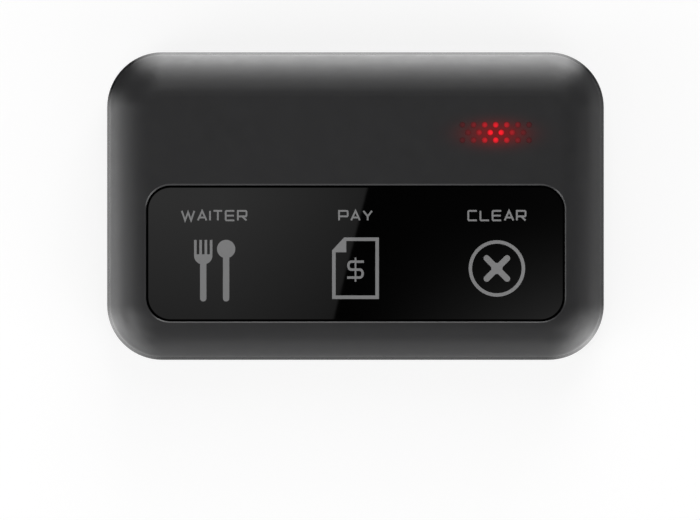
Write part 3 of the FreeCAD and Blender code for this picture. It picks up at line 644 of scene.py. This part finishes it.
# Strokes of each letter, in a cell one wide and one high. BOWL and OPEN_BOX serve two letters each
BOWL = [(0, 0), (0, 1), (0.92, 1), (1, 0.92), (1, 0.5), (0.92, 0.42), (0, 0.42)]
OPEN_BOX = [(1, 1), (0.08, 1), (0, 0.92), (0, 0.08), (0.08, 0), (1, 0)]
LETTERS = {
    "A": [[(0, 0), (0.5, 1), (1, 0)], [(0.22, 0.3), (0.78, 0.3)]],
    "C": [OPEN_BOX],
    "E": [OPEN_BOX, [(0, 0.5), (0.95, 0.5)]],
    "I": [[(0, 0), (0, 1)]],
    "L": [[(0, 1), (0, 0.08), (0.08, 0), (1, 0)]],
    "P": [BOWL],
    "R": [BOWL, [(0.5, 0.42), (1, 0)]],
    "T": [[(0, 1), (1, 1)], [(0.5, 1), (0.5, 0)]],
    "W": [[(0, 1), (0.26, 0), (0.5, 0.85), (0.74, 0), (1, 1)]],
    "Y": [[(0, 1), (0.5, 0.42), (1, 1)], [(0.5, 0.42), (0.5, 0)]],
}


def letter_width(letter):
    if letter == "I":
        return 0.0
    return LETTER_WIDTH * (WIDE_LETTER if letter == "W" else 1.0)


def word(text, x):
    """A word in wide, squarish capitals, with its middle at x."""
    length = sum(letter_width(letter) for letter in text) + LETTER_GAP * (len(text) - 1)
    left = x - length / 2
    bottom = WORD_MIDDLE - LETTER_HEIGHT / 2
    shapes = []
    for letter in text:
        width = letter_width(letter)
        for line in LETTERS[letter]:
            points = [(left + width * u, bottom + LETTER_HEIGHT * v) for u, v in line]
            shapes += stroke(points, LETTER_STROKE)
        left += width + LETTER_GAP
    return shapes


def cutlery(x):
    """Fork and spoon, side by side."""
    fork, spoon = x + FORK_X, x + SPOON_X
    half_handle = HANDLE_WIDTH / 2
    half_fork = TINE_PITCH * (FORK_TINES - 1) / 2 + TINE_WIDTH / 2
    shapes = []
    for tine in range(FORK_TINES):
        left = fork - half_fork + TINE_PITCH * tine
        shapes.append(rectangle(left, FORK_SHOULDER, left + TINE_WIDTH, CUTLERY_TOP))
    shapes.append(rectangle(fork - half_fork, FORK_SHOULDER, fork + half_fork, TINE_ROOT))
    depth = FORK_SHOULDER - FORK_NECK
    shapes.append(arc(fork, FORK_SHOULDER, half_fork, depth, 180, 360, FORK_STEPS))
    end = CUTLERY_END + half_handle
    for middle, top in ((fork, FORK_SHOULDER), (spoon, SPOON_MIDDLE)):
        shapes.append(rectangle(middle - half_handle, end, middle + half_handle, top))
        shapes.append(circle(middle, end, half_handle))
    shapes.append(circle(spoon, SPOON_MIDDLE, SPOON_RADIUS, CIRCLE_STEPS))
    return shapes


def money_sign(x):
    """The letter S with a bar through it, from two half rounds and two arms."""
    half_width, quarter = MONEY_WIDTH / 2, MONEY_HEIGHT / 4
    top, bottom = MONEY_MIDDLE + 2 * quarter, MONEY_MIDDLE - 2 * quarter
    bend = MONEY_BEND
    tip = half_width + MONEY_STROKE / 2
    line = [(x + tip, top)]
    line += arc(x - half_width + bend, MONEY_MIDDLE + quarter, bend, quarter, 90, 270, MONEY_STEPS)
    line += arc(x + half_width - bend, MONEY_MIDDLE - quarter, bend, quarter, 90, -90, MONEY_STEPS)
    line += [(x - tip, bottom)]
    bar = [(x, bottom - MONEY_BAR_REACH), (x, top + MONEY_BAR_REACH)]
    return stroke(line, MONEY_STROKE) + stroke(bar, MONEY_BAR)


def bill_sheet(x):
    """A sheet with its upper left corner folded over, and a money sign."""
    half = SHEET_STROKE / 2
    left, right = x - SHEET_WIDTH / 2 + half, x + SHEET_WIDTH / 2 - half
    bottom, top = SHEET_BOTTOM + half, SHEET_TOP - half
    corner_x, corner_y = left - half, top + half
    fold_x, fold_y = corner_x + SHEET_FOLD_X, corner_y - SHEET_FOLD_Y
    cut_x, cut_y = corner_x + SHEET_CUT_X, corner_y - SHEET_CUT_Y
    past = half * (math.sqrt(2) - 1)  # from the cut's outer line to its middle line, along a side
    outline = [(cut_x + past, top), (right, top), (right, bottom), (left, bottom), (left, cut_y - past)]
    fold = [(corner_x, fold_y), (fold_x, fold_y), (fold_x, corner_y)]
    fold += [(cut_x, corner_y), (corner_x, cut_y)]
    return stroke(outline, SHEET_STROKE, closed=True) + [fold] + money_sign(x)


def ringed_cross(x):
    """A cross in a ring. The corners between its arms are filled a little, as in drawn signs."""
    ring = stroke(circle(x, RING_MIDDLE, RING_RADIUS, CIRCLE_STEPS), RING_STROKE, closed=True)
    arms = []
    for slope in (1, -1):
        start = (x - CROSS_HALF, RING_MIDDLE - CROSS_HALF * slope)
        end = (x + CROSS_HALF, RING_MIDDLE + CROSS_HALF * slope)
        arms += round_stroke(start, end, CROSS_STROKE)
    reach, half = CROSS_WAIST, CROSS_WAIST - CROSS_STROKE / math.sqrt(2)
    quarter = [(reach, half), (half, reach), (-half, reach), (-reach, half)]
    waist = [(x + u, RING_MIDDLE + v) for u, v in quarter + [(-u, -v) for u, v in quarter]]
    return ring + arms + [waist]


PICTOGRAMS = {"waiter": cutlery, "bill": bill_sheet, "cancel": ringed_cross}


# ---- Film ----------------------------------------------------------------------------------------
def spread(start, end, apart=FILM_EDGE_STEP):
    """Points from start up to but not including end, about this far apart."""
    start, end = Vector(start), Vector(end)
    steps = max(1, round((end - start).length / apart))
    return [tuple(start.lerp(end, step / steps)) for step in range(steps)]


def divided(shape):
    """The same polygon with points along its sides, so that the film bends smoothly there too."""
    points = []
    for start, end in zip(shape, shape[1:] + shape[:1]):
        points += spread(start, end, PRINT_STEP)
    return points


def film_outline(low, high, left, right, inset):
    """Counter-clockwise outline of the film from x = left to x = right, set in from the film's own edge.

    Every inset gives the same number of points. A side at the film's end is rounded at its corners,
    and a side between two keys is straight and stays where it is.
    """
    radius = FILM_RADIUS - inset
    bottom, top = low.y + inset, high.y - inset
    at_left, at_right = left <= low.x, right >= high.x
    first, last = left + (FILM_RADIUS if at_left else 0.0), right - (FILM_RADIUS if at_right else 0.0)
    points = spread((first, bottom), (last, bottom))
    if at_right:
        points += arc(last, bottom + radius, radius, radius, -90, 0, FILM_CORNER_STEPS)[:-1]
        points += spread((right - inset, bottom + radius), (right - inset, top - radius))
        points += arc(last, top - radius, radius, radius, 0, 90, FILM_CORNER_STEPS)[:-1]
    else:
        points.append((last, bottom))
    points += spread((last, top), (first, top))
    if at_left:
        points += arc(first, top - radius, radius, radius, 90, 180, FILM_CORNER_STEPS)[:-1]
        points += spread((left + inset, top - radius), (left + inset, bottom + radius))
        points += arc(first, bottom + radius, radius, radius, 180, 270, FILM_CORNER_STEPS)[:-1]
    else:
        points.append((first, top))
    return points


def inside_film(x, y, low, high, margin):
    """Whether a point lies in the film's outline, at least margin from its edge."""
    radius = FILM_RADIUS - margin
    reach_x = abs(x - (low.x + high.x) / 2) - ((high.x - low.x) / 2 - FILM_RADIUS)
    reach_y = abs(y - (low.y + high.y) / 2) - ((high.y - low.y) / 2 - FILM_RADIUS)
    if reach_x > 0 and reach_y > 0:
        return math.hypot(reach_x, reach_y) < radius
    return max(reach_x, reach_y) < radius


def grid_points(low, high, left, right, prints):
    """Points inside one key's part of the film, clear of its print, so that it can bend smoothly."""
    corners = [corner for shape in prints for corner in shape]
    printed = KDTree(len(corners))
    for i, corner in enumerate(corners):
        printed.insert((*corner, 0.0), i)
    printed.balance()
    columns = round((right - left) / FILM_GRID)
    rows = round((high.y - low.y) / FILM_GRID)
    points = []
    for column in range(1, columns):
        x = left + (right - left) * column / columns
        for row in range(1, rows):
            y = low.y + (high.y - low.y) * row / rows
            is_clear = printed.find((x, y, 0.0))[2] > PRINT_CLEAR
            if is_clear and inside_film(x, y, low, high, FILM_ROUND + FILM_GRID / 3):
                points.append((x, y))
    return points


def triangulated(outline, prints, points):
    """Triangles that fill the outline and keep to the prints' edges.

    Gives the corners, the triangles, which of them are printed, and the corner at each outline point.
    """
    corners, faces = list(outline), [list(range(len(outline)))]
    for shape in prints:
        faces.append(list(range(len(corners), len(corners) + len(shape))))
        corners += shape
    corners += points
    flat = [Vector((x / MM, y / MM)) for x, y in corners]
    found, _, triangles, sources, _, owners = delaunay_2d_cdt(flat, [], faces, INSIDE_ONLY, SAME_POINT_MM)
    printed = [any(owner > 0 for owner in group) for group in owners]
    places = {source: i for i, group in enumerate(sources) for source in group}
    rim = [places[i] for i in range(len(outline))]
    return [(point.x * MM, point.y * MM) for point in found], triangles, printed, rim


def film_mesh(low, high, left, right, prints):
    """One key's part of the film: a closed sheet with a rounded upper edge and its print as faces."""
    mesh = bmesh.new()
    points = grid_points(low, high, left, right, prints)
    outline = film_outline(low, high, left, right, FILM_ROUND)
    corners, triangles, printed, rim = triangulated(outline, prints, points)
    top = [mesh.verts.new((x, y, high.z)) for x, y in corners]
    for triangle, has_print in zip(triangles, printed):
        face = mesh.faces.new([top[i] for i in triangle])
        face.material_index = 1 if has_print else 0
    loops = [[top[i] for i in rim]]
    for step in range(1, FILM_ROUND_STEPS + 1):
        turn = math.pi / 2 * step / FILM_ROUND_STEPS
        inset = FILM_ROUND * (1 - math.sin(turn))
        level = high.z - FILM_ROUND * (1 - math.cos(turn))
        ring = film_outline(low, high, left, right, inset)
        loops.append([mesh.verts.new((x, y, level)) for x, y in ring])
    edge = film_outline(low, high, left, right, 0.0)
    corners, triangles, _, rim = triangulated(edge, [], points)
    bottom = [mesh.verts.new((x, y, low.z)) for x, y in corners]
    for triangle in triangles:
        mesh.faces.new([bottom[i] for i in reversed(triangle)])
    loops.append([bottom[i] for i in rim])
    for upper, lower in zip(loops, loops[1:]):
        for i, corner in enumerate(upper):
            after = (i + 1) % len(upper)
            side = mesh.faces.new([corner, lower[i], lower[after], upper[after]])
            side.material_index = 2
    for face in mesh.faces:
        face.smooth = True
    crease(mesh, loops, (left, right), low, high)
    bmesh.ops.recalc_face_normals(mesh, faces=mesh.faces[:])
    return mesh


def crease(mesh, loops, ends, low, high):
    """Sharp edges round the flat top, round the underside, and at the cuts between keys."""
    for loop in (loops[0], loops[-1]):
        for i, corner in enumerate(loop):
            edge = mesh.edges.get((corner, loop[(i + 1) % len(loop)]))
            edge.smooth = False
    for cut in (x for x in ends if low.x < x < high.x):
        for edge in mesh.edges:
            if all(abs(corner.co.x - cut) < ON_CUT for corner in edge.verts):
                edge.smooth = False


def ease(share):
    """0 to 1, smoothly."""
    share = min(max(share, 0.0), 1.0)
    return share * share * (3 - 2 * share)


def dent_weights(piece, middle, half_x, half_y):
    """The film is pressed in at a key's middle and stays with the case at the edge of its pad.

    A pad's film is held on all four sides, so its weights are graded towards the middle from
    every side instead.
    """
    weights = piece.data.attributes["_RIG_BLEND"].data
    for corner, weight in zip(piece.data.vertices, weights):
        across = ease(1.0 - abs(corner.co.x - middle.x) / half_x)
        along = ease(1.0 - abs(corner.co.y - middle.y) / half_y)
        weight.value = across * along


def make_film(finishes):
    """The film in three parts, one for each key, which meet between the keys."""
    low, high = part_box("panel_film")
    boxes = {key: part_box(key + "_actuator") for key in KEYS}
    middles = {key: (boxes[key][0] + boxes[key][1]) / 2 for key in KEYS}
    cuts = [(middles[a].x + middles[b].x) / 2 for a, b in zip(KEYS, KEYS[1:])]
    sides = [low.x, *cuts, high.x]
    for number, key in enumerate(KEYS):
        middle = middles[key]
        prints = [divided(shape) for shape in word(WORDS[key], middle.x) + PICTOGRAMS[key](middle.x)]
        mesh = film_mesh(low, high, sides[number], sides[number + 1], prints)
        data = bpy.data.meshes.new(key + "_film")
        mesh.to_mesh(data)
        mesh.free()
        for slot in ("film_gloss", "film_print", "film_edge"):
            data.materials.append(finishes[slot])
        piece = add_object(key + "_film", data)
        size = boxes[key][1] - boxes[key][0]
        half_x = size.x / 2 - FLANGE_OVERHANG + FREE_MARGIN
        half_y = size.y / 2 - FLANGE_OVERHANG + FREE_MARGIN
        start = (middle.x, middle.y - half_y, high.z)
        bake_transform(piece, "case", key + "_key", start=start, end=tuple(middle))
        dent_weights(piece, middle, half_x, half_y)
        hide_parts("panel_film")


# ---- Snap domes ----------------------------------------------------------------------------------
def make_domes(model, slots, finishes):
    """A copy of each switch's snap dome with its finish, which rides with the case."""
    for key in KEYS:
        node, joint = key + "_dome", key + "_press"
        piece = add_object(key + "_snap_dome", model["nodes"][node].data.copy())
        piece.material_slots[0].material = finishes[slots[node]]
        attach(piece, "case")
        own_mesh(piece)
        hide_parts(node)


# ---- Studio --------------------------------------------------------------------------------------
def add_camera():
    camera = bpy.data.cameras.new("camera")
    camera.lens = LENS
    camera.sensor_width = SENSOR
    camera.clip_start = CLIP_NEAR
    camera.clip_end = CLIP_FAR
    holder = add_object("camera", camera)
    holder.location = (CAMERA_X, CAMERA_Y, CAMERA_HEIGHT)
    bpy.context.scene.camera = holder


def add_card(name, corners, faces, material):
    """A flat piece of the studio, which isn't part of the object."""
    data = bpy.data.meshes.new(name)
    data.from_pydata(corners, [], faces)
    data.materials.append(material)
    card = add_object(name, data)
    return card


def add_plate(name, half_x, half_y, level, material, faces_up=True):
    """Level rectangle about the origin."""
    corners = [(x, y, level) for x, y in rectangle(-half_x, -half_y, half_x, half_y)]
    if not faces_up:
        corners.reverse()
    return add_card(name, corners, [(0, 1, 2, 3)], material)


def only_in_gloss(card):
    """Hides a card from all rays but those off gloss and through glass."""
    card.visible_camera = False
    card.visible_diffuse = False
    card.visible_shadow = False


class Stage(Nodes):
    """A material for the studio, built from plain shaders."""

    def __init__(self, name):
        self.material = bpy.data.materials.new(name)
        super().__init__(self.material)
        self.nodes.remove(self.nodes["Principled BSDF"])
        self.surface = self.nodes["Material Output"].inputs["Surface"]
        self.place = self.nodes.new("ShaderNodeTexCoord").outputs["Object"]
        self.ray = self.nodes.new("ShaderNodeLightPath").outputs

    def emission(self, strength):
        node = self.nodes.new("ShaderNodeEmission")
        self.put(node.inputs["Strength"], strength)
        return node.outputs[0]

    def shows(self):
        """1 for the rays that see the background: from the camera, off gloss and through glass."""
        seen = self.math("MAXIMUM", self.ray["Is Camera Ray"], self.ray["Is Glossy Ray"])
        return self.math("MAXIMUM", seen, self.ray["Is Transmission Ray"])

    def glowing(self, light):
        """The finished material: it glows in gloss, and isn't sampled as a lamp."""
        self.put(self.surface, self.emission(light))
        self.material.cycles.emission_sampling = "NONE"
        return self.material


def floor_material():
    """Pale matte floor. It can be looked through from below, and lets the shortest rays through."""
    stage = Stage("floor")
    diffuse = stage.nodes.new("ShaderNodeBsdfDiffuse")
    stage.put(diffuse.inputs["Color"], (FLOOR_COLOUR,) * 3)
    both = stage.nodes.new("ShaderNodeAddShader")
    stage.put(both.inputs[0], diffuse.outputs[0])
    distance = stage.vector("LENGTH", stage.place)
    glow = stage.ramp(distance, FLOOR_LIT, FLOOR_UNLIT, FLOOR_GLOW, 1.0)
    stage.put(both.inputs[1], stage.emission(stage.times(stage.shows(), glow)))
    clear = stage.nodes.new("ShaderNodeBsdfTransparent")
    behind = stage.nodes.new("ShaderNodeNewGeometry").outputs["Backfacing"]
    short = stage.math("LESS_THAN", stage.ray["Ray Length"], UNDER_GAP)
    inner = stage.times(short, stage.math("SUBTRACT", 1.0, stage.ray["Is Camera Ray"]))
    either = stage.nodes.new("ShaderNodeMixShader")
    stage.put(either.inputs[0], stage.math("MAXIMUM", behind, inner))
    stage.put(either.inputs[1], both.outputs[0])
    stage.put(either.inputs[2], clear.outputs[0])
    stage.put(stage.surface, either.outputs[0])
    return stage.material


def card_material(low, high):
    """Light and shade on the overhead card, which only the glossy film mirrors.

    A place on the card gets the light of the place on the film where the camera sees it mirrored.
    """
    stage = Stage("overhead_card")
    grow = 1.0 + CARD_HEIGHT / (CAMERA_HEIGHT - high.z)
    centre = (CAMERA_X, CAMERA_Y, 0.0)
    offset = stage.vector("DIVIDE", stage.vector("SUBTRACT", stage.place, centre), (grow, grow, 1.0))
    place = stage.split(stage.vector("ADD", offset, centre))
    across = stage.ramp(place[0], low.x, high.x, 0.0, 1.0)
    down = stage.ramp(place[1], high.y, low.y, 0.0, 1.0)

    depth = stage.math("SUBTRACT", place[1], (low.y + high.y) / 2)
    lean = stage.times(depth, CARD_EDGE_SLOPE)
    beyond = stage.math("SUBTRACT", stage.math("SUBTRACT", place[0], CARD_EDGE_X), lean)
    is_right = stage.ramp(beyond, -CARD_EDGE_SOFT, CARD_EDGE_SOFT, 0.0, 1.0)

    fall_x = stage.ramp(across, *CARD_LEFT_ACROSS)
    fall_y = stage.ramp(down, *CARD_LEFT_DOWN)
    left = stage.times(stage.times(fall_x, fall_y), CARD_LEFT)
    rise_x = stage.math("POWER", stage.ramp(across, *CARD_RIGHT_ACROSS), CARD_RIGHT_CURVE_X)
    rise_y = stage.ramp(stage.math("POWER", down, CARD_RIGHT_CURVE_Y), 0.0, 1.0, CARD_RIGHT_FAR, 1.0)
    right = stage.times(stage.times(rise_x, rise_y), CARD_RIGHT)
    return stage.glowing(stage.blend(is_right, left, right))


def add_overhead_card():
    low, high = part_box("panel_film")
    level = high.z + CARD_HEIGHT
    material = card_material(low, high)
    only_in_gloss(add_plate("overhead_card", CARD_HALF_X, CARD_HALF_Y, level, material, faces_up=False))


def compass_light(stage, turn, band):
    """Apron light by azimuth: blends evenly from each of APRON_LIGHT's directions to the next."""
    top = max(max(levels) for levels in APRON_LIGHT.values())
    node = stage.nodes.new("ShaderNodeValToRGB")
    stops = node.color_ramp.elements
    stage.put(node.inputs[0], turn)
    azimuths = [*APRON_LIGHT, 360]
    for azimuth in azimuths[1:-1]:
        stops.new(azimuth / 360)
    for stop, azimuth in zip(stops, azimuths):
        share = APRON_LIGHT[azimuth % 360][band] / top
        stop.color = (share, share, share, 1.0)
    return stage.times(node.outputs["Color"], top)


def apron_material(centre):
    """Light that the case's sides mirror from below: bright behind the case and at its near corners."""
    stage = Stage("apron")
    place = stage.split(stage.place)
    beyond = []
    for axis in (0, 1):
        past = stage.past(stage.math("ABSOLUTE", place[axis]), centre[axis])
        beyond.append(stage.times(past, stage.math("SIGN", place[axis])))
    turn = stage.math("DIVIDE", stage.math("ARCTAN2", beyond[1], beyond[0]), 2 * math.pi)
    turn = stage.math("FRACT", stage.math("ADD", turn, 1.0))
    distance = stage.hypotenuse(*beyond)
    foot, close, far_out = (compass_light(stage, turn, band) for band in range(3))
    light = stage.blend(stage.ramp(distance, APRON_FOOT, APRON_CLOSE[0], 0.0, 1.0), foot, close)
    light = stage.blend(stage.ramp(distance, APRON_CLOSE[1], APRON_OPEN, 0.0, 1.0), light, far_out)
    return stage.glowing(light)


def rounded_loop(centre, radius):
    """Counter-clockwise loop: a quarter round of this radius about each of (+-x, +-y) of centre."""
    loop = []
    for start, side_x, side_y in ((0, 1, 1), (90, -1, 1), (180, -1, -1), (270, 1, -1)):
        x, y = side_x * centre[0], side_y * centre[1]
        loop += arc(x, y, radius, radius, start, start + 90, APRON_CORNER_STEPS)
    return loop


def add_apron():
    """Card on the floor all round the case, from just outside its outline."""
    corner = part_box("base_cover")[1]
    centre = (corner.x - CASE_RADIUS, corner.y - CASE_RADIUS)
    inner = rounded_loop(centre, CASE_RADIUS + APRON_GAP)
    outer = rounded_loop(centre, APRON_REACH)
    count = len(inner)
    faces = []
    for here in range(count):
        after = (here + 1) % count
        faces.append((here, count + here, count + after, after))
    corners = [(x, y, 0.0) for x, y in inner + outer]
    only_in_gloss(add_card("apron", corners, faces, apron_material(centre)))


def add_softbox(name, azimuth, elevation, width, radiance):
    """Rectangular lamp that faces the object. The camera doesn't see it, and the object's gloss does."""
    lamp = bpy.data.lights.new(name, "AREA")
    lamp.shape = "RECTANGLE"
    lamp.size = width
    lamp.size_y = SOFTBOX_HEIGHT
    lamp.energy = radiance * math.pi * width * SOFTBOX_HEIGHT
    holder = add_object(name, lamp)
    turn, tilt = math.radians(azimuth), math.radians(elevation)
    away = Vector((math.cos(turn) * math.cos(tilt), math.sin(turn) * math.cos(tilt), math.sin(tilt)))
    holder.location = AIM + away * SOFTBOX_DISTANCE
    holder.rotation_mode = "QUATERNION"
    holder.rotation_quaternion = (-away).to_track_quat("-Z", "Y")
    holder.visible_camera = False


def light_world():
    """Pale surroundings: white where they are seen, dark overhead in gloss, and a soft even light."""
    world = bpy.data.worlds.new("studio")
    bpy.context.scene.world = world
    sky = Nodes(world)
    world.cycles.sampling_method = "NONE"
    ray = sky.nodes.new("ShaderNodeLightPath").outputs
    height = sky.split(sky.nodes.new("ShaderNodeTexCoord").outputs["Generated"])[2]
    ambient = sky.ramp(height, -SKY_HORIZON, 0.0, SKY_BELOW, SKY_AMBIENT)
    gloss = sky.ramp(height, 0.0, SKY_GLOSS_HIGH, SKY_WHITE, SKY_GLOSS_TOP)
    shown = sky.blend(ray["Is Glossy Ray"], ambient, gloss)
    shown = sky.blend(ray["Is Transmission Ray"], shown, SKY_WHITE)
    shown = sky.blend(ray["Is Camera Ray"], shown, SKY_WHITE)
    background = sky.nodes["Background"].inputs
    sky.put(background["Color"], (1.0, 1.0, 1.0))
    sky.put(background["Strength"], shown)


def build_studio():
    half_floor = FLOOR_SIZE / 2
    add_plate("floor", half_floor, half_floor, FLOOR_LEVEL, floor_material())
    add_overhead_card()
    add_apron()
    for name, facts in SOFTBOXES.items():
        add_softbox(name, *facts)
    light_world()


with open("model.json") as file:
    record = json.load(file)
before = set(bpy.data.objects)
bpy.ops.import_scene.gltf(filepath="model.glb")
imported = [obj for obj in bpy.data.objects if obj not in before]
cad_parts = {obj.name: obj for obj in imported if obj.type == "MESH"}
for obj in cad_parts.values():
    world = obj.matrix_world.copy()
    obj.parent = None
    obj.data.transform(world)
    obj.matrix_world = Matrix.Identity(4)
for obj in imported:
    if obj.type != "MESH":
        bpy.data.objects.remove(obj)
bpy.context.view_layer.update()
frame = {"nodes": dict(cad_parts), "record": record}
slots = node_slots(frame)
finishes = make_finishes(frame["record"])
dress_nodes(frame, slots, finishes)
make_film(finishes)
make_domes(frame, slots, finishes)
build_studio()
add_camera()
bpy.context.scene.view_settings.view_transform = "Standard"
